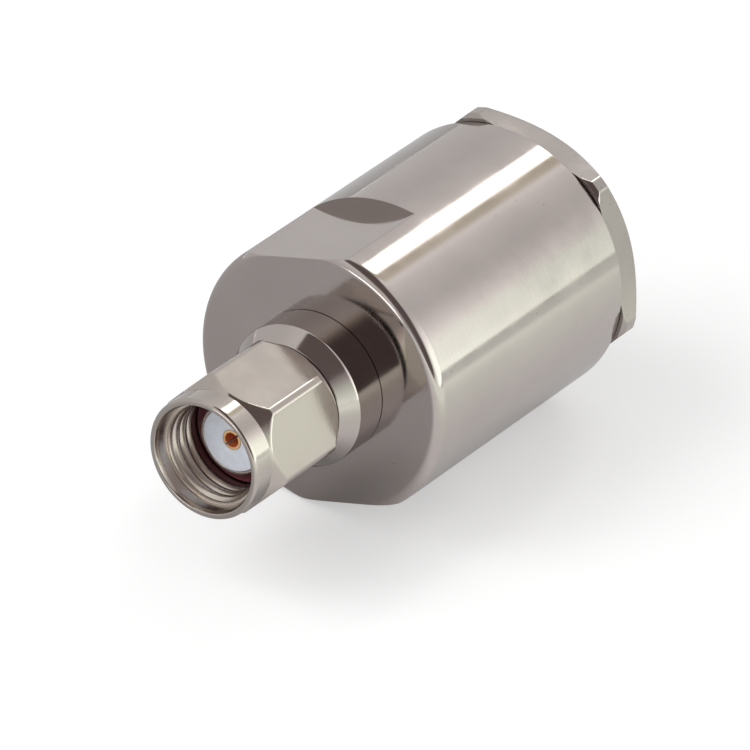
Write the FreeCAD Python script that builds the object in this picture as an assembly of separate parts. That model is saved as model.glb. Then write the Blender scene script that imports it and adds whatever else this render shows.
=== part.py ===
import FreeCAD, Part
import math
import os

# Coaxial plug with a spinning coupling nut and a clamp-type cable body, lying on its side.
# Lengths are in millimetres. +Y runs from the mating mouth to the cable end, +Z is up.
# The origin is on the axis, at the inner end of the coupling thread.

Vector = FreeCAD.Vector
AXIS = Vector(0, 1, 0)
CENTRE = Vector(0, 0, 0)

# Fits between pieces
RUNNING_GAP = 0.05      # radial, between a turning piece and what it turns on
SEAT_GAP = 0.02         # radial, between a piece and the bore that it is pushed into
FACE_GAP = 0.05         # axial, between neighbouring pieces that can part

# Mating interface, after the usual 1/4-36 coupling
THREAD_MAJOR_D = 6.35
THREAD_FRONT_Y = -2.35
THREAD_REAR_Y = 0.10
CONTACT_FACE_Y = 0.20
OUTER_CONTACT_D = 4.57
DIELECTRIC_D = 4.10
SOCKET_D = 1.27
SOCKET_HOLE_D = 0.94
SOCKET_HOLE_DEPTH = 3.6
SOCKET_SLOT_W = 0.14
SOCKET_SLOT_DEPTH = 2.9
SOCKET_SLOT_ANGLE = 50.7
TINE_GAP = 0.03

# Coupling nut
NUT_FLATS = 8.0
NUT_CORNER_D = 9.04
NUT_CORNER_ANGLE = 49.9
NUT_FRONT_Y = -2.80
NUT_REAR_Y = 5.62
SKIRT_D = 7.80
SKIRT_END_Y = -1.20
SKIRT_EDGE = 0.14
NUT_FRONT_CHAMFER_L = 0.90
NUT_REAR_CHAMFER_L = 0.90
NUT_REAR_D = 7.90
MOUTH_D = 6.80
MOUTH_CHAMFER = 0.14
NUT_RELIEF_D = 7.00
NUT_BEARING_Y = 2.40

# Nose, gasket shoulder and bearing of the body
SHOULDER_Y = 1.85
BEARING_D = 5.70
GASKET_D = 6.20
GASKET_T = 0.80
NECK_FRONT_Y = 5.80
NECK_FRONT_D = 7.60
NECK_BEVEL_END_Y = 6.76
NECK_D = 9.28

# Retaining ring, in a groove of the body and a groove of the nut
RING_Y = 4.10
RING_T = 0.70
RING_D = 6.60
RING_SPLIT_ANGLE = 32.0
RING_SPLIT_AT = 156.7
RING_BITE = 0.40        # depth of the body's groove
RING_SIDE_GAP = 0.12    # axial play of the nut on the ring, each way
RING_ROOM = 0.25        # radial room over the ring in the nut's groove

# Main body
BODY_D = 17.70
BODY_FRONT_Y = 9.20
BODY_REAR_Y = 28.85
BODY_FRONT_ROUND = 0.68
BODY_REAR_EDGE = 0.12
BODY_FLATS = 16.0
BODY_FLAT_END_Y = 16.60
BODY_FLAT_ANGLE = 109.3

# Stepped bore of the body
BEAD_BORE_D = 7.60
BEAD_BORE_Y = 7.80
CHAMBER_D = 10.80
CHAMBER_Y = 12.60
CLAMP_BORE_D = 13.40
CLAMP_BORE_Y = 17.20
REAR_THREAD_D = 14.30
REAR_LEAD_IN = 0.40

# Centre contact and insulators
FLANGE_T = 0.80         # rear flange of the front insulator
COLLAR_D = 5.00
COLLAR_T = 0.80
CUP_D = 3.90
CUP_HOLE_D = 2.84
CUP_HOLE_DEPTH = 4.6
CUP_END_Y = 15.80
CUP_VENT_D = 0.90
CUP_VENT_FROM_END = 3.2

# Cable clamp stack
CABLE_D = 10.30
CABLE_BORE_D = 10.90
BRAID_BORE_D = 8.30
FERRULE_FLANGE_T = 1.10
FERRULE_SLEEVE_D = 9.70
FERRULE_SLEEVE_L = 1.60
FERRULE_EDGE = 0.45
CABLE_GASKET_T = 2.70
WASHER_T = 0.60

# Clamp nut
CLAMP_FLATS_STEP = 1.20      # how much narrower than the barrel its flats are
CLAMP_CORNER_STEP = 0.94     # how much wider than the barrel its turned corners are
CLAMP_CORNER_ANGLE = 50.6
CLAMP_HEAD_L = 2.30
CLAMP_REAR_CHAMFER_L = 1.12
CLAMP_FRONT_CHAMFER_L = 0.25
CLAMP_BORE_CHAMFER = 0.45
CLAMP_PILOT_L = 0.80
CLAMP_UNDERCUT_L = 0.90
CLAMP_UNDERCUT_DEPTH = 0.55

# How far a cutting tool runs past the face that it starts from
OVERRUN = 1.0


def turned(profile):
    """Solid of revolution about Y from (y, radius) corners."""
    points = [Vector(radius, y, 0) for y, radius in profile]
    wire = Part.makePolygon(points + points[:1])
    return Part.Face(wire).revolve(CENTRE, AXIS, 360)


def rod(diameter, y0, y1):
    """Cylinder about Y between two stations."""
    return Part.makeCylinder(diameter / 2, y1 - y0, Vector(0, y0, 0), AXIS)


def tube(outer_d, inner_d, y0, y1):
    """Plain ring about Y."""
    return rod(outer_d, y0, y1).cut(rod(inner_d, y0 - OVERRUN, y1 + OVERRUN))


def hexagon(across_flats, y0, y1, corner_angle):
    """Hexagonal prism about Y with one corner at an angle from +X towards +Z."""
    radius = across_flats / math.sqrt(3)
    corners = []
    for step in range(6):
        angle = math.radians(corner_angle + 60 * step)
        corners.append(Vector(radius * math.cos(angle), y0, radius * math.sin(angle)))
    face = Part.Face(Part.makePolygon(corners + corners[:1]))
    return face.extrude(Vector(0, y1 - y0, 0))


def turned_about_axis(shape, angle):
    """Copy of a shape turned about Y, from +X towards +Z."""
    copy = shape.copy()
    copy.rotate(CENTRE, AXIS, -angle)
    return copy


def circle_edges(shape, y, diameter):
    """Round edges of a shape that lie at one station and one diameter."""
    found = []
    for edge in shape.Edges:
        box = edge.BoundBox
        flat = abs(box.YMin - y) < 1e-4 and abs(box.YMax - y) < 1e-4
        if flat and abs(box.XLength - diameter) < 1e-3:
            found.append(edge)
    return found


def coupling_nut():
    """Hexagonal nut with a round skirt, a threaded mouth and a bearing bore."""
    skirt = SKIRT_D / 2
    corner = NUT_CORNER_D / 2
    blank = turned([
        (NUT_FRONT_Y, 0),
        (NUT_FRONT_Y, skirt - SKIRT_EDGE),
        (NUT_FRONT_Y + SKIRT_EDGE, skirt),
        (SKIRT_END_Y, skirt),
        (SKIRT_END_Y + NUT_FRONT_CHAMFER_L, corner),
        (NUT_REAR_Y - NUT_REAR_CHAMFER_L, corner),
        (NUT_REAR_Y, NUT_REAR_D / 2),
        (NUT_REAR_Y, 0),
    ])
    blank = blank.common(hexagon(NUT_FLATS, NUT_FRONT_Y, NUT_REAR_Y, NUT_CORNER_ANGLE))
    mouth = MOUTH_D / 2
    bearing = BEARING_D / 2 + RUNNING_GAP
    groove = RING_D / 2 + RING_ROOM
    groove_half = RING_T / 2 + RING_SIDE_GAP
    bore = turned([
        (NUT_FRONT_Y - OVERRUN, 0),
        (NUT_FRONT_Y - OVERRUN, mouth + MOUTH_CHAMFER),
        (NUT_FRONT_Y, mouth + MOUTH_CHAMFER),
        (NUT_FRONT_Y + MOUTH_CHAMFER, mouth),
        (THREAD_FRONT_Y, THREAD_MAJOR_D / 2),
        (THREAD_REAR_Y, THREAD_MAJOR_D / 2),
        (THREAD_REAR_Y, NUT_RELIEF_D / 2),
        (NUT_BEARING_Y, NUT_RELIEF_D / 2),
        (NUT_BEARING_Y, bearing),
        (RING_Y - groove_half, bearing),
        (RING_Y - groove_half, groove),
        (RING_Y + groove_half, groove),
        (RING_Y + groove_half, bearing),
        (NUT_REAR_Y + OVERRUN, bearing),
        (NUT_REAR_Y + OVERRUN, 0),
    ])
    return blank.cut(bore)


def body_outside():
    """Nose, ring groove, bevelled neck and barrel of the body, without its bore."""
    bearing = BEARING_D / 2
    groove_half = RING_T / 2 + SEAT_GAP
    barrel = turned([
        (CONTACT_FACE_Y, 0),
        (CONTACT_FACE_Y, OUTER_CONTACT_D / 2),
        (SHOULDER_Y, OUTER_CONTACT_D / 2),
        (SHOULDER_Y, bearing),
        (RING_Y - groove_half, bearing),
        (RING_Y - groove_half, bearing - RING_BITE),
        (RING_Y + groove_half, bearing - RING_BITE),
        (RING_Y + groove_half, bearing),
        (NECK_FRONT_Y, bearing),
        (NECK_FRONT_Y, NECK_FRONT_D / 2),
        (NECK_BEVEL_END_Y, NECK_D / 2),
        (BODY_FRONT_Y, NECK_D / 2),
        (BODY_FRONT_Y, BODY_D / 2),
        (BODY_REAR_Y - BODY_REAR_EDGE, BODY_D / 2),
        (BODY_REAR_Y, BODY_D / 2 - BODY_REAR_EDGE),
        (BODY_REAR_Y, 0),
    ])
    return barrel.makeFillet(BODY_FRONT_ROUND, circle_edges(barrel, BODY_FRONT_Y, BODY_D))


def wrench_flat_cutters():
    """Two blocks that mill the opposite wrench flats of the barrel."""
    depth = BODY_D
    blocks = []
    for angle in (BODY_FLAT_ANGLE, BODY_FLAT_ANGLE + 180):
        block = Part.makeBox(
            depth, BODY_FLAT_END_Y - BODY_FRONT_Y + OVERRUN, 2 * BODY_D,
            Vector(BODY_FLATS / 2, BODY_FRONT_Y - OVERRUN, -BODY_D))
        blocks.append(turned_about_axis(block, angle))
    return blocks


def ferrule_rear_y():
    """Station where the flange of the braid clamp ends and the cable gasket starts."""
    return CLAMP_BORE_Y + FERRULE_FLANGE_T


def washer_front_y():
    """Station of the slip washer's front face."""
    return ferrule_rear_y() + CABLE_GASKET_T + 2 * FACE_GAP


def clamp_front_y():
    """Station where the clamp nut's tube starts, behind the slip washer."""
    return washer_front_y() + WASHER_T + FACE_GAP


def rear_thread_y():
    """Station where the thread of the body starts, ahead of the clamp nut's own."""
    return clamp_front_y() + CLAMP_PILOT_L - FACE_GAP


def body_bore():
    """Stepped bore, from the dielectric at the nose to the rear thread."""
    dielectric = DIELECTRIC_D / 2
    bead = BEAD_BORE_D / 2
    chamber = CHAMBER_D / 2
    clamp = CLAMP_BORE_D / 2
    thread = REAR_THREAD_D / 2
    return turned([
        (CONTACT_FACE_Y - OVERRUN, 0),
        (CONTACT_FACE_Y - OVERRUN, dielectric),
        (BEAD_BORE_Y, dielectric),
        (BEAD_BORE_Y, bead),
        (CHAMBER_Y, bead),
        (CHAMBER_Y, chamber),
        (CLAMP_BORE_Y, chamber),
        (CLAMP_BORE_Y, clamp),
        (rear_thread_y(), clamp),
        (rear_thread_y(), thread),
        (BODY_REAR_Y - REAR_LEAD_IN, thread),
        (BODY_REAR_Y, thread + REAR_LEAD_IN),
        (BODY_REAR_Y + OVERRUN, thread + REAR_LEAD_IN),
        (BODY_REAR_Y + OVERRUN, 0),
    ])


def connector_body():
    """One turned and milled piece that carries everything else."""
    body = body_outside()
    for block in wrench_flat_cutters():
        body = body.cut(block)
    return body.cut(body_bore())


def retaining_ring():
    """Split ring that keeps the nut on the body and lets it spin."""
    inner_d = BEARING_D - 2 * RING_BITE + 2 * SEAT_GAP
    ring = tube(RING_D, inner_d, RING_Y - RING_T / 2, RING_Y + RING_T / 2)
    half = math.radians(RING_SPLIT_ANGLE / 2)
    reach = RING_D
    corners = [
        Vector(0, RING_Y - RING_T, 0),
        Vector(reach * math.cos(half), RING_Y - RING_T, reach * math.sin(half)),
        Vector(reach * math.cos(half), RING_Y - RING_T, -reach * math.sin(half)),
    ]
    wedge = Part.Face(Part.makePolygon(corners + corners[:1])).extrude(Vector(0, 2 * RING_T, 0))
    return ring.cut(turned_about_axis(wedge, RING_SPLIT_AT))


def interface_gasket():
    """Soft ring round the nose, against the shoulder of the body."""
    inner_d = OUTER_CONTACT_D + 2 * SEAT_GAP
    return tube(GASKET_D, inner_d, SHOULDER_Y - GASKET_T, SHOULDER_Y)


def front_insulator():
    """Dielectric sleeve, flush with the nose, with a flange in the body's second bore."""
    sleeve_d = DIELECTRIC_D - 2 * SEAT_GAP
    flange_d = BEAD_BORE_D - 2 * SEAT_GAP
    sleeve = rod(sleeve_d, CONTACT_FACE_Y, BEAD_BORE_Y)
    flange = rod(flange_d, BEAD_BORE_Y, BEAD_BORE_Y + FLANGE_T)
    hole = rod(SOCKET_D + 2 * TINE_GAP, CONTACT_FACE_Y - OVERRUN, BEAD_BORE_Y + FLANGE_T + OVERRUN)
    return sleeve.fuse(flange).cut(hole).removeSplitter()


def centre_contact():
    """Slotted socket in front, locating collar, and solder cup for the cable's conductor."""
    collar_y = BEAD_BORE_Y + FLANGE_T
    contact = turned([
        (CONTACT_FACE_Y, 0),
        (CONTACT_FACE_Y, SOCKET_D / 2),
        (collar_y, SOCKET_D / 2),
        (collar_y, COLLAR_D / 2),
        (collar_y + COLLAR_T, COLLAR_D / 2),
        (collar_y + COLLAR_T, CUP_D / 2),
        (CUP_END_Y, CUP_D / 2),
        (CUP_END_Y, 0),
    ])
    hole = rod(SOCKET_HOLE_D, CONTACT_FACE_Y - OVERRUN, CONTACT_FACE_Y + SOCKET_HOLE_DEPTH)
    slot = Part.makeBox(
        2 * SOCKET_D, SOCKET_SLOT_DEPTH + OVERRUN, SOCKET_SLOT_W,
        Vector(-SOCKET_D, CONTACT_FACE_Y - OVERRUN, -SOCKET_SLOT_W / 2))
    cup = rod(CUP_HOLE_D, CUP_END_Y - CUP_HOLE_DEPTH, CUP_END_Y + OVERRUN)
    vent = Part.makeCylinder(
        CUP_VENT_D / 2, CUP_D, Vector(0, CUP_END_Y - CUP_VENT_FROM_END, 0), Vector(0, 0, 1))
    for tool in (hole, turned_about_axis(slot, SOCKET_SLOT_ANGLE), cup, vent):
        contact = contact.cut(tool)
    return contact


def rear_insulator():
    """Dielectric bead behind the collar, counterbored to take it."""
    front = BEAD_BORE_Y + FLANGE_T + COLLAR_T
    return tube(BEAD_BORE_D - 2 * SEAT_GAP, CUP_D + 2 * SEAT_GAP, front, CHAMBER_Y)


def braid_clamp():
    """Flanged sleeve that grips the cable's braid against the shoulder of the body."""
    rear = ferrule_rear_y()
    flange = CLAMP_BORE_D / 2 - RUNNING_GAP
    sleeve = FERRULE_SLEEVE_D / 2
    bore = BRAID_BORE_D / 2
    return turned([
        (CLAMP_BORE_Y, bore),
        (CLAMP_BORE_Y, flange - FERRULE_EDGE),
        (CLAMP_BORE_Y + FERRULE_EDGE, flange),
        (rear, flange),
        (rear, sleeve),
        (rear + FERRULE_SLEEVE_L, sleeve),
        (rear + FERRULE_SLEEVE_L, bore),
    ])


def cable_gasket():
    """Rubber ring that the clamp nut squeezes round the cable's jacket."""
    front = ferrule_rear_y() + FACE_GAP
    outer_d = CLAMP_BORE_D - 2 * RUNNING_GAP
    return tube(outer_d, CABLE_D, front, front + CABLE_GASKET_T)


def slip_washer():
    """Flat ring that lets the clamp nut turn without wringing the gasket."""
    front = washer_front_y()
    outer_d = CLAMP_BORE_D - 2 * RUNNING_GAP
    return tube(outer_d, CABLE_BORE_D, front, front + WASHER_T)


def clamp_nut():
    """Hexagonal head with a cable bore, on a tube that screws into the body."""
    seat = BODY_REAR_Y + FACE_GAP
    rear = seat + CLAMP_HEAD_L
    tube_front = clamp_front_y()
    corner = (BODY_D + CLAMP_CORNER_STEP) / 2
    head = hexagon(BODY_D - CLAMP_FLATS_STEP, seat, rear, CLAMP_CORNER_ANGLE)
    envelope = turned([
        (seat, 0),
        (seat, corner - CLAMP_FRONT_CHAMFER_L),
        (seat + CLAMP_FRONT_CHAMFER_L, corner),
        (rear - CLAMP_REAR_CHAMFER_L, corner),
        (rear, corner - CLAMP_REAR_CHAMFER_L),
        (rear, 0),
    ])
    thread = REAR_THREAD_D / 2 - RUNNING_GAP
    bore = CABLE_BORE_D / 2
    shank = turned([
        (tube_front, 0),
        (tube_front, CLAMP_BORE_D / 2 - RUNNING_GAP),
        (tube_front + CLAMP_PILOT_L, CLAMP_BORE_D / 2 - RUNNING_GAP),
        (tube_front + CLAMP_PILOT_L, thread),
        (seat - CLAMP_UNDERCUT_L, thread),
        (seat - CLAMP_UNDERCUT_L, thread - CLAMP_UNDERCUT_DEPTH),
        (seat + CLAMP_BORE_CHAMFER, thread - CLAMP_UNDERCUT_DEPTH),
        (seat + CLAMP_BORE_CHAMFER, 0),
    ])
    cable = turned([
        (tube_front - OVERRUN, 0),
        (tube_front - OVERRUN, bore),
        (rear - CLAMP_BORE_CHAMFER, bore),
        (rear, bore + CLAMP_BORE_CHAMFER),
        (rear + OVERRUN, bore + CLAMP_BORE_CHAMFER),
        (rear + OVERRUN, 0),
    ])
    return head.common(envelope).fuse(shank).cut(cable).removeSplitter()


PIECES = {
    "connector_body": connector_body,
    "coupling_nut": coupling_nut,
    "retaining_ring": retaining_ring,
    "interface_gasket": interface_gasket,
    "front_insulator": front_insulator,
    "centre_contact": centre_contact,
    "rear_insulator": rear_insulator,
    "braid_clamp": braid_clamp,
    "cable_gasket": cable_gasket,
    "slip_washer": slip_washer,
    "clamp_nut": clamp_nut,
}

os.makedirs("parts", exist_ok=True)
for name, make in PIECES.items():
    shape = make()
    shape.exportStep(f"parts/{name}.step")
    print(name, "solids", len(shape.Solids), "volume", round(shape.Volume, 3), "valid", shape.isValid())
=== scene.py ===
import math

import bmesh
import bpy
import numpy as np
from mathutils import Matrix, Vector


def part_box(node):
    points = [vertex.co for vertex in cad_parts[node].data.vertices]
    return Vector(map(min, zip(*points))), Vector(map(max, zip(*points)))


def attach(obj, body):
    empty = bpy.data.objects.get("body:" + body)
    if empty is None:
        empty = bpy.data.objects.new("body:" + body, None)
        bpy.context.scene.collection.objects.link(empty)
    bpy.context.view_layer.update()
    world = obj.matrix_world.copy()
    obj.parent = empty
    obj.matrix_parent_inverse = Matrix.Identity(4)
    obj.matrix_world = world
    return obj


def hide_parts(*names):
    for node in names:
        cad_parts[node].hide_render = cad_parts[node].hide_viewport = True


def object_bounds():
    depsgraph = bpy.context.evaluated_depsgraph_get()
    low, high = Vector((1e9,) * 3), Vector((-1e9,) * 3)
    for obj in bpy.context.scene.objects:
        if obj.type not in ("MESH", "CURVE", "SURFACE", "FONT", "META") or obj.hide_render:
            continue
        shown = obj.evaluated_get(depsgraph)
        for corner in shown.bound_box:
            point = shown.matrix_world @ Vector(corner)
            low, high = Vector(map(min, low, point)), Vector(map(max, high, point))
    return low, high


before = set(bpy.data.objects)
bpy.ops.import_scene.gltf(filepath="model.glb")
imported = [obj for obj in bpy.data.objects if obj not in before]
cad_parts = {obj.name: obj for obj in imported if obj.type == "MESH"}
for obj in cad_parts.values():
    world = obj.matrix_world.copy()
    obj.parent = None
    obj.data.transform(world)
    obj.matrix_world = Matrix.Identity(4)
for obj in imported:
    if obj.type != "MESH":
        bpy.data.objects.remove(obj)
CAD_LO, CAD_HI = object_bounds()

# Shapes are worked out in millimetres and written in metres. Everything is turned about Y,
# and an angle about Y is counted from +X towards +Z.
MM = 0.001
TAU = 2 * math.pi


# Helpers for meshes

ARC_STEPS = 5           # least segments of a rounded corner of an outline
ARC_LENGTH = 0.06       # length of one such segment, in mm, where the corner is large
CONE_STEP = 0.05        # longest segment of an outline where flats cut into a cone, in mm
SUPPORT_RUN = 0.3       # shortest run of an outline that has a supporting point near each end
SUPPORT_INSET = 0.03    # distance of such a point from its end of the run
EDGE_BLEND = 0.05       # width over which flats run into the turned surface, in mm
STEEPEST = 0.02         # least cosine in the distance to a flat
MERGE_DISTANCE = 2e-8   # in metres
SHARP_ANGLE = 32        # edges that turn more than this are shaded sharp, in degrees


def edge_y(node, end):
    """Station, in mm, where a CAD node starts (end 0) or stops (end 1) along the axis."""
    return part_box(node)[end].y / MM


def softened(corners):
    """Outline of (y, r) points from (y, r, rounding) corners of a closed loop."""
    path = []
    for index, (y, r, rounding) in enumerate(corners):
        here = Vector((y, r))
        if rounding == 0:
            path.append(here)
            continue
        before = (Vector(corners[index - 1][:2]) - here).normalized()
        after = (Vector(corners[(index + 1) % len(corners)][:2]) - here).normalized()
        half = before.angle(after) / 2
        centre = here + (before + after).normalized() * rounding / math.sin(half)
        start = here + before * rounding / math.tan(half) - centre
        end = here + after * rounding / math.tan(half) - centre
        turn = math.pi - 2 * half
        steps = max(ARC_STEPS, math.ceil(turn * rounding / ARC_LENGTH))
        for step in range(steps + 1):
            part = turn * step / steps
            offset = start * math.sin(turn - part) + end * math.sin(part)
            path.append(centre + offset / math.sin(turn))
    return path


def filled(path, inside):
    """Same outline with points added on the runs whose middle is inside(y, r)."""
    result = []
    for here, there in zip(path, path[1:]):
        count = math.ceil((there - here).length / CONE_STEP) if inside(*(here + there) / 2) else 1
        result += [here.lerp(there, step / count) for step in range(count)]
    return result + path[-1:]


def supported(path):
    """Same outline with a point close to each end of every long run, which keeps it flat."""
    result = []
    for here, there in zip(path, path[1:]):
        result.append(here)
        length = (there - here).length
        if length > SUPPORT_RUN:
            result.append(here.lerp(there, SUPPORT_INSET / length))
            result.append(there.lerp(here, SUPPORT_INSET / length))
    return result + path[-1:]


def round_columns(count, edges, reach, extra):
    """Angles once round, closer together within reach of each edge, first angle repeated last."""
    angles = [np.arange(count) * TAU / count]
    for edge in edges:
        angles.append(edge + np.linspace(-reach, reach, extra))
    angles = np.unique(np.round(np.concatenate(angles) % TAU, 7))
    return np.append(angles, angles[0] + TAU)


def prism_edges(half_flats, corner_r, flat_angle, sides):
    """Angles at which the sides of a prism run into a turned surface."""
    half = math.acos(half_flats / corner_r)
    return [flat_angle + TAU / sides * k + side * half for k in range(sides) for side in (-1, 1)]


def prism_reach(angles, half_flats, flat_angle, sides):
    """Distance from the axis to the sides of a prism, along each angle."""
    sector = TAU / sides
    off = (angles - flat_angle + sector / 2) % sector - sector / 2
    return half_flats / np.maximum(np.cos(off), STEEPEST)


def blended(a, b, width):
    """Smaller of two heights, with the edge where they cross rounded."""
    share = np.clip(0.5 + 0.5 * (b - a) / width, 0, 1)
    return b + (a - b) * share - width * share * (1 - share)


def swept(name, y, r, angles):
    """Closed mesh through a grid of stations y and radii r, with one row per outline point."""
    rows, columns = r.shape
    points = np.stack([r * np.cos(angles), y, r * np.sin(angles)], -1) * MM
    index = np.arange(rows * columns).reshape(rows, columns)
    below = np.roll(index, -1, 0)
    faces = np.stack([index[:, :-1], index[:, 1:], below[:, 1:], below[:, :-1]], -1)
    mesh = bpy.data.meshes.new(name)
    mesh.from_pydata(points.reshape(-1, 3).tolist(), [], faces.reshape(-1, 4).tolist())
    work = bmesh.new()
    work.from_mesh(mesh)
    bmesh.ops.remove_doubles(work, verts=work.verts, dist=MERGE_DISTANCE)
    bmesh.ops.recalc_face_normals(work, faces=work.faces)
    work.to_mesh(mesh)
    work.free()
    mesh.shade_smooth()
    mesh.set_sharp_from_angle(angle=math.radians(SHARP_ANGLE))
    piece = bpy.data.objects.new(name, mesh)
    bpy.context.scene.collection.objects.link(piece)
    weighted = piece.modifiers.new("weighted", "WEIGHTED_NORMAL")
    weighted.keep_sharp = True
    return piece


def grid_of(path, angles):
    """Stations and radii of an outline that is turned with no flats."""
    y = np.array([p[0] for p in path])[:, None] + 0 * angles
    r = np.array([p[1] for p in path])[:, None] + 0 * angles
    return y, r


# Coupling nut: hexagon, round skirt, threaded mouth

NUT_HALF_FLATS = 4.00
NUT_CORNER_R = 4.52
NUT_FLAT_ANGLE = math.radians(19.9)
NUT_SKIRT_R = 3.90
NUT_SKIRT_END_Y = -1.20
NUT_CONE_L = 0.90
NUT_REAR_CONE_L = 0.90
NUT_REAR_R = 3.95
NUT_MOUTH_R = 3.40
NUT_MOUTH_FLARE = 0.12      # how much wider the mouth is at its rim
NUT_MOUTH_FLARE_L = 0.30
NUT_MOUTH_TAPER = 0.06      # how much narrower it is at the thread
NUT_MOUTH_ROUNDS = (0.04, 0.20, 0.10)   # at the thread, in the mouth and at the rim
NUT_RIM_ROUND = 0.24
NUT_FOOT_ROUND = 0.03       # where the skirt meets the cone
NUT_CONE_ROUND = 0.05
NUT_BORE_ROUND = 0.04
NUT_BEARING_R = 2.90
NUT_GROOVE_R = 3.55
NUT_GROOVE_Y = (3.63, 4.57)
NUT_RELIEF_R = 3.20
NUT_BEARING_Y = 2.40
THREAD_MAJOR_R = 3.175
THREAD_DEPTH = 0.24
THREAD_PITCH = 25.4 / 36
THREAD_Y = (-1.80, 0.55)
THREAD_FADE = 0.35
THREAD_ROUNDING = 0.70      # under 1 the crests are broad and the roots narrow
NUT_THREAD_ROWS = 20        # rows of the mesh in one turn
NUT_COLUMNS = 300
HEX_EDGE_REACH, HEX_EDGE_COLUMNS = math.radians(1.2), 9     # finer columns at a hexagon's edges
CONE_MARGIN = 0.06          # how far under its smaller end a cone still counts as cut by the flats


def thread_height(phase):
    """Height of a thread over its root, 0 to 1, from the phase within one turn: broad worn crests."""
    return np.abs(np.sin(math.pi * phase)) ** THREAD_ROUNDING


def thread_rows(angles, y0, y1, pitch, root_r, depth, fade, rows):
    """Stations and radii of a right-hand thread that runs between two stations."""
    turns = math.ceil((y1 - y0) / pitch) + 2
    steps = np.arange(turns * rows + 1)[:, None] / rows
    lead = (angles - angles[0]) / TAU
    y = np.clip(y0 + pitch * (steps - 1 - lead), y0, y1)
    inside = np.clip((y - y0) / fade, 0, 1) * np.clip((y1 - y) / fade, 0, 1)
    return y, root_r + depth * thread_height(steps) * inside


def coupling_hex():
    """Coupling nut with rounded hexagon edges and its thread cut inside."""
    front, rear = edge_y("coupling_nut", 0), edge_y("coupling_nut", 1)
    cone_end, rear_cone = NUT_SKIRT_END_Y + NUT_CONE_L, rear - NUT_REAR_CONE_L
    outline = [
        (THREAD_Y[0], THREAD_MAJOR_R, 0),
        (THREAD_Y[0], NUT_MOUTH_R - NUT_MOUTH_TAPER, NUT_MOUTH_ROUNDS[0]),
        (front + NUT_MOUTH_FLARE_L, NUT_MOUTH_R, NUT_MOUTH_ROUNDS[1]),
        (front, NUT_MOUTH_R + NUT_MOUTH_FLARE, NUT_MOUTH_ROUNDS[2]),
        (front, NUT_SKIRT_R, NUT_RIM_ROUND),
        (NUT_SKIRT_END_Y, NUT_SKIRT_R, NUT_FOOT_ROUND),
        (cone_end, NUT_CORNER_R, NUT_CONE_ROUND),
        (rear_cone, NUT_CORNER_R, NUT_CONE_ROUND),
        (rear, NUT_REAR_R, NUT_CONE_ROUND),
        (rear, NUT_BEARING_R, NUT_BORE_ROUND),
        (NUT_GROOVE_Y[1], NUT_BEARING_R, 0),
        (NUT_GROOVE_Y[1], NUT_GROOVE_R, 0),
        (NUT_GROOVE_Y[0], NUT_GROOVE_R, 0),
        (NUT_GROOVE_Y[0], NUT_BEARING_R, 0),
        (NUT_BEARING_Y, NUT_BEARING_R, 0),
        (NUT_BEARING_Y, NUT_RELIEF_R, 0),
        (THREAD_Y[1], NUT_RELIEF_R, 0),
        (THREAD_Y[1], THREAD_MAJOR_R, 0),
    ]

    def on_cone(y, r):
        return r > NUT_REAR_R - CONE_MARGIN and not cone_end < y < rear_cone

    path = supported(filled(softened(outline), on_cone))
    edges = prism_edges(NUT_HALF_FLATS, NUT_CORNER_R, NUT_FLAT_ANGLE, 6)
    angles = round_columns(NUT_COLUMNS, edges, HEX_EDGE_REACH, HEX_EDGE_COLUMNS)
    y, r = grid_of(path, angles)
    r = blended(r, prism_reach(angles, NUT_HALF_FLATS, NUT_FLAT_ANGLE, 6), EDGE_BLEND)
    thread_y, thread_r = thread_rows(
        angles, *THREAD_Y, THREAD_PITCH, THREAD_MAJOR_R, -THREAD_DEPTH, THREAD_FADE, NUT_THREAD_ROWS)
    y = np.concatenate([y, thread_y[::-1]])
    r = np.concatenate([r, thread_r[::-1]])
    piece = swept("coupling_hex", y, r, angles)
    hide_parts("coupling_nut")
    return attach(piece, "coupling")


# Body: nose, neck, barrel with two milled flats, stepped bore

BODY_R = 8.85
BODY_FRONT_Y = 9.20
BODY_FRONT_ROUND = 0.68
FLAT_HALF = 8.00
FLAT_ANGLE = math.radians(109.3)
FLAT_END_Y = 16.60
NECK_R = 4.64
NECK_FRONT_Y = 5.80
NECK_FRONT_R = 3.87
NECK_BEVEL_Y = 6.90
SEAM = 0.05                 # fine groove where the neck meets the front face
BEARING_R = 2.85
NOSE_R = 2.285
NOSE_BORE_R = 2.05
SHOULDER_Y = 1.85
BORE_STEPS = ((7.80, 3.80), (12.60, 5.40), (17.20, 6.70), (22.55, 7.15))
RING_GROOVE_Y, RING_GROOVE_R = (3.73, 4.47), 2.45
NOSE_ROUNDS = (0.05, 0.09)  # inside and outside of its front edge
NECK_FRONT_ROUND = 0.10
NECK_BEVEL_ROUND = 0.28
BODY_REAR_ROUND = 0.12
LEAD_IN, LEAD_IN_ROUND = 0.40, 0.05
WALL_MARGIN = 0.05          # distance of the rows on each side of the wall that ends the flats
WALL_FIND = 0.001           # how closely a row's station has to match the wall's
FLATS_FROM_R = NECK_R + 1.0     # the flats cut nothing inside this radius
BODY_COLUMNS = 480
FLAT_EDGE_REACH, FLAT_EDGE_COLUMNS = math.radians(1.5), 25


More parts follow.
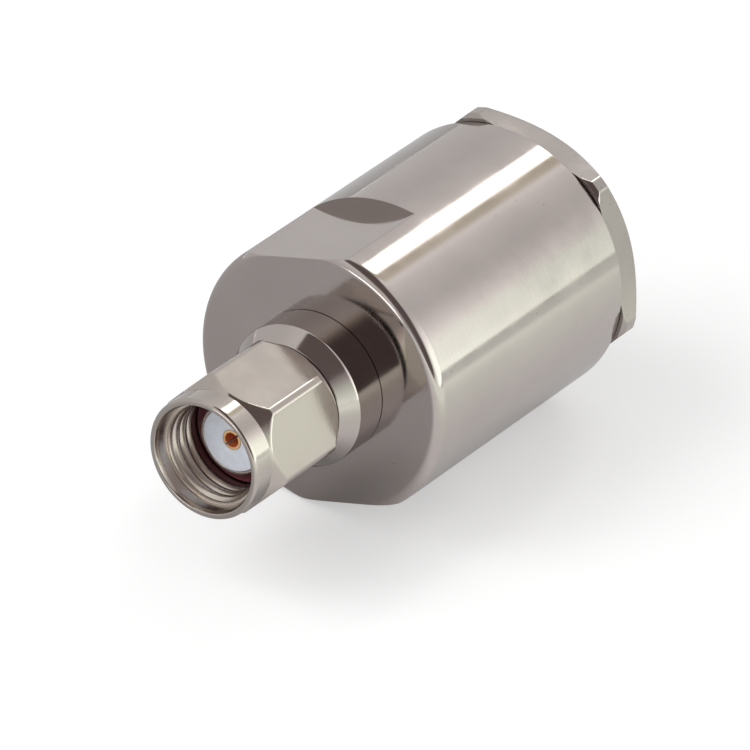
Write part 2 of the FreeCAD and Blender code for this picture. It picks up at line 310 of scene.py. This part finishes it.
def barrel():
    """Body with the rounded front edge, bevelled neck and the two milled flats."""
    front, rear = edge_y("connector_body", 0), edge_y("connector_body", 1)
    outline = [
        (front, NOSE_BORE_R, NOSE_ROUNDS[0]),
        (front, NOSE_R, NOSE_ROUNDS[1]),
        (SHOULDER_Y, NOSE_R, 0),
        (SHOULDER_Y, BEARING_R, 0),
        (RING_GROOVE_Y[0], BEARING_R, 0),
        (RING_GROOVE_Y[0], RING_GROOVE_R, 0),
        (RING_GROOVE_Y[1], RING_GROOVE_R, 0),
        (RING_GROOVE_Y[1], BEARING_R, 0),
        (NECK_FRONT_Y, BEARING_R, 0),
        (NECK_FRONT_Y, NECK_FRONT_R, NECK_FRONT_ROUND),
        (NECK_BEVEL_Y, NECK_R, NECK_BEVEL_ROUND),
        (BODY_FRONT_Y - SEAM, NECK_R, 0),
        (BODY_FRONT_Y - SEAM, NECK_R - SEAM, 0),
        (BODY_FRONT_Y, NECK_R - SEAM, 0),
        (BODY_FRONT_Y, BODY_R, BODY_FRONT_ROUND),
        (FLAT_END_Y - WALL_MARGIN, BODY_R, 0),
        (FLAT_END_Y, BODY_R, 0),
        (FLAT_END_Y, BODY_R, 0),
        (FLAT_END_Y + WALL_MARGIN, BODY_R, 0),
        (rear, BODY_R, BODY_REAR_ROUND),
        (rear, BORE_STEPS[-1][1] + LEAD_IN, LEAD_IN_ROUND),
        (rear - LEAD_IN, BORE_STEPS[-1][1], 0),
    ]
    inner = NOSE_BORE_R
    steps = []
    for station, radius in BORE_STEPS:
        steps += [(station, radius, 0), (station, inner, 0)][::-1]
        inner = radius
    outline += steps[::-1]
    path = supported(softened(outline))
    wall = next(i for i, point in enumerate(path) if abs(point[0] - FLAT_END_Y) < WALL_FIND)
    edges = prism_edges(FLAT_HALF, BODY_R, FLAT_ANGLE, 2)
    angles = round_columns(BODY_COLUMNS, edges, FLAT_EDGE_REACH, FLAT_EDGE_COLUMNS)
    y, r = grid_of(path, angles)
    milled = (np.arange(len(path))[:, None] <= wall) & (r > FLATS_FROM_R)
    r = np.where(milled, blended(r, prism_reach(angles, FLAT_HALF, FLAT_ANGLE, 2), EDGE_BLEND), r)
    piece = swept("barrel", y, r, angles)
    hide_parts("connector_body")
    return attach(piece, "connector")


# Clamp nut: wide hexagonal head on a threaded shank

CLAMP_HALF_FLATS = 8.25
CLAMP_CORNER_R = 9.32
CLAMP_FLAT_ANGLE = math.radians(20.6)
CLAMP_SEAT_Y = 28.90
CLAMP_REAR_CONE_L = 1.12
CLAMP_FRONT_CHAMFER = 0.25
CLAMP_BORE_R = 5.45
CLAMP_BORE_CHAMFER = 0.45
CLAMP_THREAD_R = 7.10
CLAMP_PILOT_R = 6.65
CLAMP_PILOT_L = 0.80
CLAMP_UNDERCUT_L = 0.90
CLAMP_UNDERCUT_R = 6.55
CLAMP_PITCH = 0.75
CLAMP_THREAD_DEPTH = 0.42
CLAMP_THREAD_FADE = 0.10
CLAMP_THREAD_ROWS = 10
CLAMP_SEAT_ROUND = 0.05
CLAMP_REAR_ROUND = 0.08
CLAMP_BORE_ROUND = 0.05
CLAMP_PILOT_ROUND = 0.10
CLAMP_CONE_MARGIN = 0.12
CLAMP_COLUMNS = 330


def clamp_hex():
    """Clamp nut with rounded hexagon edges and a thread on its shank."""
    front, rear = edge_y("clamp_nut", 0), edge_y("clamp_nut", 1)
    thread_y = (front + CLAMP_PILOT_L, CLAMP_SEAT_Y - CLAMP_UNDERCUT_L)
    cone_y = (CLAMP_SEAT_Y + CLAMP_FRONT_CHAMFER, rear - CLAMP_REAR_CONE_L)
    root_r = CLAMP_THREAD_R - CLAMP_THREAD_DEPTH
    outline = [
        (thread_y[1], root_r, 0),
        (thread_y[1], CLAMP_UNDERCUT_R, 0),
        (CLAMP_SEAT_Y, CLAMP_UNDERCUT_R, 0),
        (CLAMP_SEAT_Y, CLAMP_CORNER_R - CLAMP_FRONT_CHAMFER, CLAMP_SEAT_ROUND),
        (cone_y[0], CLAMP_CORNER_R, CLAMP_SEAT_ROUND),
        (cone_y[1], CLAMP_CORNER_R, CLAMP_REAR_ROUND),
        (rear, CLAMP_CORNER_R - CLAMP_REAR_CONE_L, CLAMP_REAR_ROUND),
        (rear, CLAMP_BORE_R + CLAMP_BORE_CHAMFER, CLAMP_REAR_ROUND),
        (rear - CLAMP_BORE_CHAMFER, CLAMP_BORE_R, CLAMP_REAR_ROUND),
        (front, CLAMP_BORE_R, CLAMP_BORE_ROUND),
        (front, CLAMP_PILOT_R, CLAMP_PILOT_ROUND),
        (thread_y[0], CLAMP_PILOT_R, 0),
        (thread_y[0], root_r, 0),
    ]

    def on_cone(y, r):
        return r > CLAMP_HALF_FLATS - CLAMP_CONE_MARGIN and not cone_y[0] < y < cone_y[1]

    path = supported(filled(softened(outline), on_cone))
    edges = prism_edges(CLAMP_HALF_FLATS, CLAMP_CORNER_R, CLAMP_FLAT_ANGLE, 6)
    angles = round_columns(CLAMP_COLUMNS, edges, HEX_EDGE_REACH, HEX_EDGE_COLUMNS)
    y, r = grid_of(path, angles)
    r = blended(r, prism_reach(angles, CLAMP_HALF_FLATS, CLAMP_FLAT_ANGLE, 6), EDGE_BLEND)
    helix_y, helix_r = thread_rows(
        angles, *thread_y, CLAMP_PITCH, root_r, CLAMP_THREAD_DEPTH, CLAMP_THREAD_FADE, CLAMP_THREAD_ROWS)
    y = np.concatenate([y, helix_y])
    r = np.concatenate([r, helix_r])
    piece = swept("clamp_hex", y, r, angles)
    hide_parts("clamp_nut")
    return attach(piece, "clamp")


# Materials. Object coordinates are the part's own frame in metres.

TURN_STRETCH = 0.0006       # how much of a turn counts as length in the lathe marks
LATHE_SCALE, FILM_SCALE, GRAIN_SCALE = 9000.0, 260.0, 5200.0
FILM_RANGE = (0.35, 0.70)   # values of the film over which the roughness changes
FILM_STOPS = (0.30, 0.70)   # and those over which the colour does
FILM_SHADES = (0.95, 1.02)  # factors on the colour
FILM_ROUGHNESS = (0.75, 1.60)   # factors on the roughness
SPECK_SHADE = (0.35,)
SPECK_EDGE = 0.03
GRAIN_SHARE = 0.5           # of the grain in the height of the lathe marks
LINING_EDGE = 0.00002       # half the width over which one metal gives way to another
BUMP_HEIGHT = 0.00002
SOFT_STOPS = (0.3, 0.7)
SOFT_SHADES = (0.93, 1.04)
SOFT_ROUGHNESS = (0.85, 1.15)
SUBSURFACE_RADIUS = (0.001, 0.001, 0.001)
SUBSURFACE_SCALE = 0.3


def material(name):
    """Empty node material with a Principled shader."""
    made = bpy.data.materials.new(name)
    made.use_nodes = True
    return made, made.node_tree.nodes, made.node_tree.links, made.node_tree.nodes["Principled BSDF"]


def add(nodes, kind, **values):
    """New node with attributes, and with input values given by name."""
    node = nodes.new(kind)
    for key, value in values.items():
        if key.startswith("in_"):
            node.inputs[key[3:].replace("_", " ")].default_value = value
        else:
            setattr(node, key, value)
    return node


def ramp(nodes, stops):
    """Colour ramp from (position, colour) stops."""
    node = nodes.new("ShaderNodeValToRGB")
    while len(node.color_ramp.elements) < len(stops):
        node.color_ramp.elements.new(0.5)
    for element, (position, colour) in zip(node.color_ramp.elements, stops):
        element.position = position
        element.color = (*colour, 1) if len(colour) == 3 else (colour[0],) * 3 + (1,)
    return node


def combined(nodes, links, operation, first, second, third=None):
    """Result of a maths node, where each value is a number or a socket."""
    node = add(nodes, "ShaderNodeMath", operation=operation)
    for socket, value in zip(node.inputs, (first, second, third)):
        if isinstance(value, bpy.types.NodeSocket):
            links.new(value, socket)
        elif value is not None:
            socket.default_value = value
    return node.outputs[0]


def spread(nodes, links, source, start_end, values, kind="SMOOTHSTEP"):
    """Change from one value to another while source goes from start to end."""
    node = add(nodes, "ShaderNodeMapRange", interpolation_type=kind)
    node.inputs["From Min"].default_value, node.inputs["From Max"].default_value = start_end
    node.inputs["To Min"].default_value, node.inputs["To Max"].default_value = values
    links.new(source, node.inputs["Value"])
    return node.outputs[0]


def mottled(nodes, links, source, colour, stops, shades):
    """Change from one shade of a colour to another while source goes over the stops."""
    shaded = [[min(1.0, c * shade) for c in colour] for shade in shades]
    tint = ramp(nodes, list(zip(stops, shaded)))
    links.new(source, tint.inputs["Fac"])
    return tint.outputs["Color"]


def varied(nodes, links, source, start_end, roughness, factors):
    """Roughness that goes from one multiple of a value to another with source."""
    rough = [min(1.0, roughness * factor) for factor in factors]
    return spread(nodes, links, source, start_end, rough, "LINEAR")


def bumped(nodes, links, shader, height, strength):
    """Gives the shader a fine relief."""
    bump = add(nodes, "ShaderNodeBump", in_Strength=strength, in_Distance=BUMP_HEIGHT)
    links.new(height, bump.inputs["Height"])
    links.new(bump.outputs[0], shader.inputs["Normal"])


def round_coordinates(nodes, links):
    """Object coordinates, and the same point as radius, station and stretched angle, in metres."""
    place = nodes.new("ShaderNodeTexCoord")
    parts = nodes.new("ShaderNodeSeparateXYZ")
    links.new(place.outputs["Object"], parts.inputs[0])
    flat = nodes.new("ShaderNodeCombineXYZ")
    links.new(parts.outputs["X"], flat.inputs["X"])
    links.new(parts.outputs["Z"], flat.inputs["Z"])
    radius = add(nodes, "ShaderNodeVectorMath", operation="LENGTH")
    links.new(flat.outputs[0], radius.inputs[0])
    angle = combined(nodes, links, "ARCTAN2", parts.outputs["Z"], parts.outputs["X"])
    packed = nodes.new("ShaderNodeCombineXYZ")
    links.new(radius.outputs["Value"], packed.inputs["X"])
    links.new(parts.outputs["Y"], packed.inputs["Y"])
    links.new(combined(nodes, links, "MULTIPLY", angle, TURN_STRETCH), packed.inputs["Z"])
    return place, packed


def plated(nodes, links, place, colour, specks):
    """Colour of plate with a mottled film and dark specks, then the film and the grain of the specks."""
    film = add(nodes, "ShaderNodeTexNoise", in_Scale=FILM_SCALE, in_Detail=4.0, in_Roughness=0.60)
    grain = add(nodes, "ShaderNodeTexNoise", in_Scale=GRAIN_SCALE, in_Detail=2.0)
    for noise in (film, grain):
        links.new(place.outputs["Object"], noise.inputs["Vector"])
    tint = mottled(nodes, links, film.outputs["Fac"], colour, FILM_STOPS, FILM_SHADES)
    pits = ramp(nodes, [(0.0, SPECK_SHADE), (specks, SPECK_SHADE), (specks + SPECK_EDGE, (1.0,))])
    links.new(grain.outputs["Fac"], pits.inputs["Fac"])
    mixed = add(nodes, "ShaderNodeMix", data_type="RGBA", blend_type="MULTIPLY")
    mixed.inputs[0].default_value = 1.0
    links.new(tint, mixed.inputs[6])
    links.new(pits.outputs["Color"], mixed.inputs[7])
    return mixed.outputs[2], film.outputs["Fac"], grain.outputs["Fac"]


def painted_within_radius(nodes, links, shader, packed, plain, painted_look):
    """Colour that changes within a radius, and the share of it: painted light in the nut's threaded mouth,
    painted shade in the socket's hole.
    """
    reach, inner_colour, metallic = painted_look
    radius = nodes.new("ShaderNodeSeparateXYZ")
    links.new(packed.outputs[0], radius.inputs[0])
    band = (reach - LINING_EDGE, reach + LINING_EDGE)
    within = spread(nodes, links, radius.outputs["X"], band, (1.0, 0.0))
    mixed = add(nodes, "ShaderNodeMix", data_type="RGBA")
    mixed.inputs[7].default_value = (*inner_colour, 1)
    links.new(within, mixed.inputs[0])
    links.new(plain, mixed.inputs[6])
    if metallic < 1.0:
        share = combined(nodes, links, "MULTIPLY_ADD", within, metallic - 1.0, 1.0)
        links.new(share, shader.inputs["Metallic"])
    return mixed.outputs[2], within


def nickel(name, colour, roughness, marks, specks, inside=None):
    """Bright nickel plate with lathe marks round the axis, a mottled film and a few specks.

    With inside given as (radius, colour, metallic, roughness), the surface within that radius has them, as
    painted light or painted shade.
    """
    made, nodes, links, shader = material(name)
    shader.inputs["Metallic"].default_value = 1.0
    place, packed = round_coordinates(nodes, links)
    plate, film, grain = plated(nodes, links, place, colour, specks)
    polish = varied(nodes, links, film, FILM_RANGE, roughness, FILM_ROUGHNESS)
    if inside:
        plate, within = painted_within_radius(nodes, links, shader, packed, plate, inside[:3])
        polish = combined(nodes, links, "MULTIPLY_ADD", within, inside[3], polish)
    links.new(plate, shader.inputs["Base Color"])
    links.new(polish, shader.inputs["Roughness"])
    lathe = add(nodes, "ShaderNodeTexNoise", in_Scale=LATHE_SCALE, in_Detail=3.0, in_Roughness=0.6)
    links.new(packed.outputs[0], lathe.inputs["Vector"])
    height = combined(nodes, links, "MULTIPLY_ADD", grain, GRAIN_SHARE, lathe.outputs["Fac"])
    bumped(nodes, links, shader, height, marks)
    return made


def soft_solid(name, colour, roughness, grain, bumpiness, subsurface=0.0):
    """Rubber or fluoropolymer with a fine grain in colour, roughness and height."""
    made, nodes, links, shader = material(name)
    place = nodes.new("ShaderNodeTexCoord")
    noise = add(nodes, "ShaderNodeTexNoise", in_Scale=grain, in_Detail=4.0)
    links.new(place.outputs["Object"], noise.inputs["Vector"])
    level = noise.outputs["Fac"]
    links.new(mottled(nodes, links, level, colour, SOFT_STOPS, SOFT_SHADES), shader.inputs["Base Color"])
    rough = varied(nodes, links, level, (0.0, 1.0), roughness, SOFT_ROUGHNESS)
    links.new(rough, shader.inputs["Roughness"])
    bumped(nodes, links, shader, level, bumpiness)
    if subsurface:
        shader.inputs["Subsurface Weight"].default_value = subsurface
        shader.inputs["Subsurface Radius"].default_value = SUBSURFACE_RADIUS
        shader.inputs["Subsurface Scale"].default_value = SUBSURFACE_SCALE
    return made


def dress(target, made):
    """Gives an object one material."""
    target.data.materials.clear()
    target.data.materials.append(made)


# Pieces and their finishes

nut_piece = coupling_hex()
body_piece = barrel()
clamp_piece = clamp_hex()

NICKEL = (0.425, 0.379, 0.364)
NUT_NICKEL = (0.425, 0.380, 0.352)
# painted light: a lighter nickel for the nut's threaded mouth, standing in for light that barely reaches
# inside it
BORE_PAINTED_LIGHT = (0.60, 0.535, 0.485)
CLAMP_NICKEL = (0.380, 0.341, 0.324)
INNER_NICKEL = (0.42, 0.385, 0.37)
BRONZE = (0.60, 0.42, 0.22)
# the second gold is painted shade: darker, redder and less metallic inside the socket's hole
GOLD, GOLD_PAINTED_SHADE = (0.88, 0.60, 0.30), (0.80, 0.26, 0.10)
SILICONE, RUBBER, PTFE = (0.150, 0.030, 0.045), (0.02, 0.02, 0.021), (0.76, 0.80, 0.88)
THREAD_WITHIN, HOLE_WITHIN = 0.00345, 0.00049   # radii of the nut's thread and the socket's hole, in metres
# painted light in the nut's threaded mouth and painted shade in the socket's hole, each as (radius, colour,
# metallic, added roughness)
THREAD_PAINTED_LIGHT = (THREAD_WITHIN, BORE_PAINTED_LIGHT, 1.0, 0.16)
SOCKET_PAINTED_SHADE = (HOLE_WITHIN, GOLD_PAINTED_SHADE, 0.3, 0.25)

body_finish = nickel("body_nickel", NICKEL, roughness=0.09, marks=0.022, specks=0.22)
nut_finish = nickel("nut_nickel", NUT_NICKEL, roughness=0.11, marks=0.08, specks=0.21, inside=THREAD_PAINTED_LIGHT)
clamp_finish = nickel("clamp_nickel", CLAMP_NICKEL, roughness=0.10, marks=0.14, specks=0.26)
inner_finish = nickel("inner_nickel", INNER_NICKEL, roughness=0.20, marks=0.20, specks=0.20)
bronze = nickel("ring_bronze", BRONZE, roughness=0.30, marks=0.15, specks=0.20)
gold = nickel("contact_gold", GOLD, roughness=0.22, marks=0.10, specks=0.15, inside=SOCKET_PAINTED_SHADE)
gasket = soft_solid("gasket_silicone", SILICONE, roughness=0.42, grain=1800.0, bumpiness=0.15)
rubber = soft_solid("cable_rubber", RUBBER, roughness=0.55, grain=1500.0, bumpiness=0.25)
ptfe = soft_solid("ptfe_white", PTFE, roughness=0.38, grain=2500.0, bumpiness=0.10, subsurface=0.2)

dress(nut_piece, nut_finish)
dress(body_piece, body_finish)
dress(clamp_piece, clamp_finish)
FINISHES = {
    "retaining_ring": bronze,
    "interface_gasket": gasket,
    "front_insulator": ptfe,
    "centre_contact": gold,
    "rear_insulator": ptfe,
    "braid_clamp": inner_finish,
    "cable_gasket": rubber,
    "slip_washer": inner_finish,
}
for node, finish in FINISHES.items():
    dress(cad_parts[node], finish)


# Floor, light and camera

FLOOR_Z = CAD_LO.z
FLOOR_SIZE = 3.0
FLOOR_ALBEDO = 0.62
FLOOR_ROUGHNESS, FLOOR_SPECULAR = 0.9, 0.1
FLOOR_LIFT = 0.44           # added to the floor for the camera, so that it reads as white
# Painted light: for rays the metal mirrors, the floor glows to the right of the part, more so farther out,
# standing in for a floor lit from behind
NEAR_LIFT, NEAR_X = 0.45, (0.0, 0.012)
FAR_LIFT, FAR_X, FAR_Y = 0.45, (0.015, 0.080), (0.110, 0.070)
MIRRORED_TINT, TINT_X = (0.98, 1.08, 0.93), (0.010, 0.030)
WHITE = (1, 1, 1, 1)


def ray_kinds(nodes, links):
    """Values that are 1 for camera rays, and for rays that the metal mirrors."""
    path = nodes.new("ShaderNodeLightPath")
    mirrored = add(nodes, "ShaderNodeMath", operation="MAXIMUM")
    links.new(path.outputs["Is Glossy Ray"], mirrored.inputs[0])
    links.new(path.outputs["Is Transmission Ray"], mirrored.inputs[1])
    return path.outputs["Is Camera Ray"], mirrored.outputs[0]


def floor_glow(nodes, links):
    """How strongly the metal sees the floor glow at a point, and the share of its tint there."""
    place = nodes.new("ShaderNodeTexCoord")
    parts = nodes.new("ShaderNodeSeparateXYZ")
    links.new(place.outputs["Object"], parts.inputs[0])
    x, y = parts.outputs["X"], parts.outputs["Y"]
    near = spread(nodes, links, x, NEAR_X, (0.0, NEAR_LIFT))
    far = spread(nodes, links, x, FAR_X, (0.0, FAR_LIFT))
    level = spread(nodes, links, y, FAR_Y[::-1], (1.0, 0.0))
    lift = combined(nodes, links, "MULTIPLY_ADD", far, level, near)
    return lift, spread(nodes, links, x, TINT_X, (0.0, 1.0))


def white_floor():
    """Pale level floor that keeps the part's shadow."""
    mesh = bpy.data.meshes.new("floor")
    half = FLOOR_SIZE / 2
    corners = [(x * half, y * half, FLOOR_Z) for x, y in ((-1, -1), (1, -1), (1, 1), (-1, 1))]
    mesh.from_pydata(corners, [], [(0, 1, 2, 3)])
    floor = bpy.data.objects.new("floor", mesh)
    bpy.context.scene.collection.objects.link(floor)
    made, nodes, links, shader = material("floor_white")
    shader.inputs["Base Color"].default_value = (FLOOR_ALBEDO, FLOOR_ALBEDO, FLOOR_ALBEDO, 1)
    shader.inputs["Roughness"].default_value = FLOOR_ROUGHNESS
    shader.inputs["Specular IOR Level"].default_value = FLOOR_SPECULAR
    camera, mirrored = ray_kinds(nodes, links)
    lift, tinted = floor_glow(nodes, links)
    lift = combined(nodes, links, "MULTIPLY", mirrored, lift)
    lift = combined(nodes, links, "MULTIPLY_ADD", camera, FLOOR_LIFT, lift)
    tint = add(nodes, "ShaderNodeMix", data_type="RGBA")
    tint.inputs[6].default_value = WHITE
    tint.inputs[7].default_value = (*MIRRORED_TINT, 1)
    links.new(combined(nodes, links, "MULTIPLY", mirrored, tinted), tint.inputs[0])
    links.new(tint.outputs[2], shader.inputs["Emission Color"])
    links.new(lift, shader.inputs["Emission Strength"])
    dress(floor, made)


def about_axis(angle, y):
    """Direction with a share y along the axis and an angle about it."""
    across = math.sqrt(1 - y * y)
    a = math.radians(angle)
    return Vector((across * math.cos(a), y, across * math.sin(a)))


SURROUND = 0.55             # plain brightness of the room for diffuse light; the camera sees it white
# What the metal sees round the part, by the angle about its axis in degrees: brightness and tint
PLAIN, GREENISH, OLIVE = (1.0, 1.0, 0.98), (1.0, 1.09, 0.99), (1.0, 0.96, 0.80)
WALL_SCALE = 2.0            # the colour ramp holds the brightness of the walls divided by this
WALLS = (
    (-20, 1.40, PLAIN), (-3, 1.42, GREENISH), (8, 1.20, GREENISH), (20, 1.16, GREENISH), (32, 1.02, PLAIN),
    (44, 0.90, PLAIN), (56, 0.92, PLAIN), (68, 1.03, PLAIN), (76, 1.15, PLAIN), (82, 1.40, PLAIN),
    (86, 0.95, OLIVE), (91, 0.85, OLIVE), (111, 1.10, PLAIN), (115, 1.03, PLAIN), (140, 0.86, PLAIN),
    (180, 0.84, PLAIN),
)
# By the same angle: between which shares of a direction along the axis the camera side is dark,
# and how strongly the bright window on the right counts
CAMERA_SIDE = (
    (-8, -0.85, -0.90, 1.00), (4, -0.97, -0.50, 1.00), (10, -0.97, -0.42, 1.00), (26, -0.96, -0.40, 1.00),
    (38, -0.96, -0.36, 0.55), (50, -0.95, -0.22, 0.08), (62, -0.93, -0.12, 0.0), (74, -0.88, 0.02, 0.0),
    (84, -0.80, 0.26, 0.0), (98, -0.68, 0.28, 0.0), (106, -0.50, 0.12, 0.0), (114, -0.30, -0.50, 0.0),
)
DARK = (0.100, 0.082, 0.078)
DARK_EDGE = 14              # steepness of the edge of the dark side
WINDOW_FADE = (0.743, 0.720)    # share along the axis over which the window comes in
WINDOW_START = (-0.45, 0.10)
WINDOW_GAIN = 1.05


def round_ramp(nodes, links, angle, stops):
    """Colour ramp that runs over an angle about the axis, from (degrees, colour) stops."""
    first, last = math.radians(stops[0][0]), math.radians(stops[-1][0])
    turn = spread(nodes, links, angle, (first, last), (0.0, 1.0), "LINEAR")
    made = ramp(nodes, [((math.radians(a) - first) / (last - first), colour) for a, colour in stops])
    links.new(turn, made.inputs["Fac"])
    return made.outputs["Color"]


def lit_walls(nodes, links, along, angle, gain):
    """Colour of the walls, brighter where the window on the right counts."""
    stops = [(a, [level / WALL_SCALE * t for t in tint]) for a, level, tint in WALLS]
    near = spread(nodes, links, along, WINDOW_FADE[::-1], (WINDOW_GAIN, 0.0))
    near = combined(nodes, links, "MULTIPLY", near, spread(nodes, links, along, WINDOW_START, (0.0, 1.0)))
    lit = add(nodes, "ShaderNodeVectorMath", operation="SCALE")
    links.new(round_ramp(nodes, links, angle, stops), lit.inputs[0])
    links.new(combined(nodes, links, "MULTIPLY_ADD", near, gain, 1.0), lit.inputs["Scale"])
    return lit.outputs[0]


def dark_side(nodes, links, along, low, high):
    """Share of the dark camera side in what lies in a direction."""
    share = combined(nodes, links, "MULTIPLY_ADD", along, 0.5, 0.5)
    edges = []
    for over, under in ((share, low), (high, share)):
        gap = combined(nodes, links, "SUBTRACT", over, under)
        edge = add(nodes, "ShaderNodeMath", operation="MULTIPLY_ADD", use_clamp=True)
        edge.inputs[1].default_value = DARK_EDGE
        edge.inputs[2].default_value = 0.5
        links.new(gap, edge.inputs[0])
        edges.append(edge.outputs[0])
    return combined(nodes, links, "MULTIPLY", *edges)


def surroundings():
    """White room for the camera; the metal sees its walls, a window and the dark camera side."""
    world = bpy.data.worlds.new("room")
    bpy.context.scene.world = world
    world.use_nodes = True
    nodes, links = world.node_tree.nodes, world.node_tree.links
    back = nodes["Background"]
    place = nodes.new("ShaderNodeTexCoord")
    outward = add(nodes, "ShaderNodeVectorMath", operation="NORMALIZE")
    links.new(place.outputs["Generated"], outward.inputs[0])
    parts = nodes.new("ShaderNodeSeparateXYZ")
    links.new(outward.outputs[0], parts.inputs[0])
    along = parts.outputs["Y"]
    angle = combined(nodes, links, "ARCTAN2", parts.outputs["Z"], parts.outputs["X"])
    limits = [(a, ((low + 1) / 2, (high + 1) / 2, gain)) for a, low, high, gain in CAMERA_SIDE]
    shape = nodes.new("ShaderNodeSeparateColor")
    links.new(round_ramp(nodes, links, angle, limits), shape.inputs[0])
    low, high, gain = shape.outputs
    room = add(nodes, "ShaderNodeMix", data_type="RGBA")
    room.inputs[7].default_value = (*DARK, 1)
    links.new(dark_side(nodes, links, along, low, high), room.inputs[0])
    links.new(lit_walls(nodes, links, along, angle, gain), room.inputs[6])
    camera, mirrored = ray_kinds(nodes, links)
    colour = add(nodes, "ShaderNodeMix", data_type="RGBA")
    colour.inputs[6].default_value = WHITE
    links.new(mirrored, colour.inputs[0])
    links.new(room.outputs[2], colour.inputs[7])
    links.new(colour.outputs[2], back.inputs["Color"])
    strength = combined(nodes, links, "MULTIPLY_ADD", camera, 1.0 - SURROUND, SURROUND)
    strength = combined(nodes, links, "MULTIPLY_ADD", mirrored, WALL_SCALE - SURROUND, strength)
    links.new(strength, back.inputs["Strength"])


def softbox(name, direction, distance, size, radiance, colour=(1, 1, 1)):
    """Rectangular lamp that looks at the part, as bright as radiance when seen from it."""
    lamp = bpy.data.lights.new(name, "AREA")
    lamp.shape = "RECTANGLE"
    lamp.size, lamp.size_y = size
    lamp.energy = radiance * math.pi * size[0] * size[1]
    lamp.color = colour
    holder = bpy.data.objects.new(name, lamp)
    middle = (CAD_LO + CAD_HI) / 2
    holder.location = middle + direction * distance
    holder.rotation_mode = "QUATERNION"
    holder.rotation_quaternion = (-direction).to_track_quat("-Z", "Y")
    bpy.context.scene.collection.objects.link(holder)
    return holder


SENSOR_WIDTH, CLIP = 36.0, (0.01, 20.0)
CAMERA_AZIMUTH = 31.6088
CAMERA_ELEVATION = 31.6695
CAMERA_ROLL = 5.9630
CAMERA_BACK = 0.602256
CAMERA_RIGHT = 0.0086056
CAMERA_UP = 0.0039339
CAMERA_LENS = 487.824


def viewer():
    """Camera at the photograph's angle: azimuth, elevation, roll and distance from the origin."""
    azimuth, elevation, roll = (math.radians(v) for v in (CAMERA_AZIMUTH, CAMERA_ELEVATION, CAMERA_ROLL))
    back = Vector((math.sin(azimuth) * math.cos(elevation),
                   -math.cos(azimuth) * math.cos(elevation), math.sin(elevation)))
    level = Vector((math.cos(azimuth), math.sin(azimuth), 0))
    right = Matrix.Rotation(roll, 3, back) @ level
    up = back.cross(right)
    data = bpy.data.cameras.new("camera")
    data.sensor_width = SENSOR_WIDTH
    data.lens = CAMERA_LENS
    data.clip_start, data.clip_end = CLIP
    camera = bpy.data.objects.new("camera", data)
    place = back * CAMERA_BACK + right * CAMERA_RIGHT + up * CAMERA_UP
    camera.matrix_world = Matrix.Translation(place) @ Matrix((right, up, back)).transposed().to_4x4()
    bpy.context.scene.collection.objects.link(camera)
    bpy.context.scene.camera = camera


# Directions of the lamps: angle about the axis and share along it, or a vector
CORE_AT, RIM_AT, KEY_AT = (100.5, 0.725), (99.6, 0.725), (125.0, -0.50)
CARD_AT, FILL_AT = Vector((-0.19, -0.975, 0.03)), Vector((-0.25, -0.85, 0.45))
CORE_COLOUR, RIM_COLOUR = (1.0, 1.0, 0.97), (1.0, 1.0, 0.95)

white_floor()
surroundings()
softbox("lamp_core", about_axis(*CORE_AT), distance=0.80, size=(0.097, 0.42), radiance=3.2, colour=CORE_COLOUR)
softbox("lamp_rim", about_axis(*RIM_AT), distance=0.82, size=(0.132, 0.43), radiance=2.0, colour=RIM_COLOUR)
card = softbox("front_card", CARD_AT.normalized(), distance=0.16, size=(0.055, 0.030), radiance=2.6)
card.visible_diffuse = False
key = softbox("key_lamp", about_axis(*KEY_AT), distance=0.8, size=(0.40, 0.50), radiance=4.2)
front = softbox("front_fill", FILL_AT.normalized(), distance=0.6, size=(0.42, 0.42), radiance=1.8)
for lamp in (key, front):
    lamp.visible_glossy = False
viewer()

bpy.context.scene.view_settings.view_transform = "Standard"
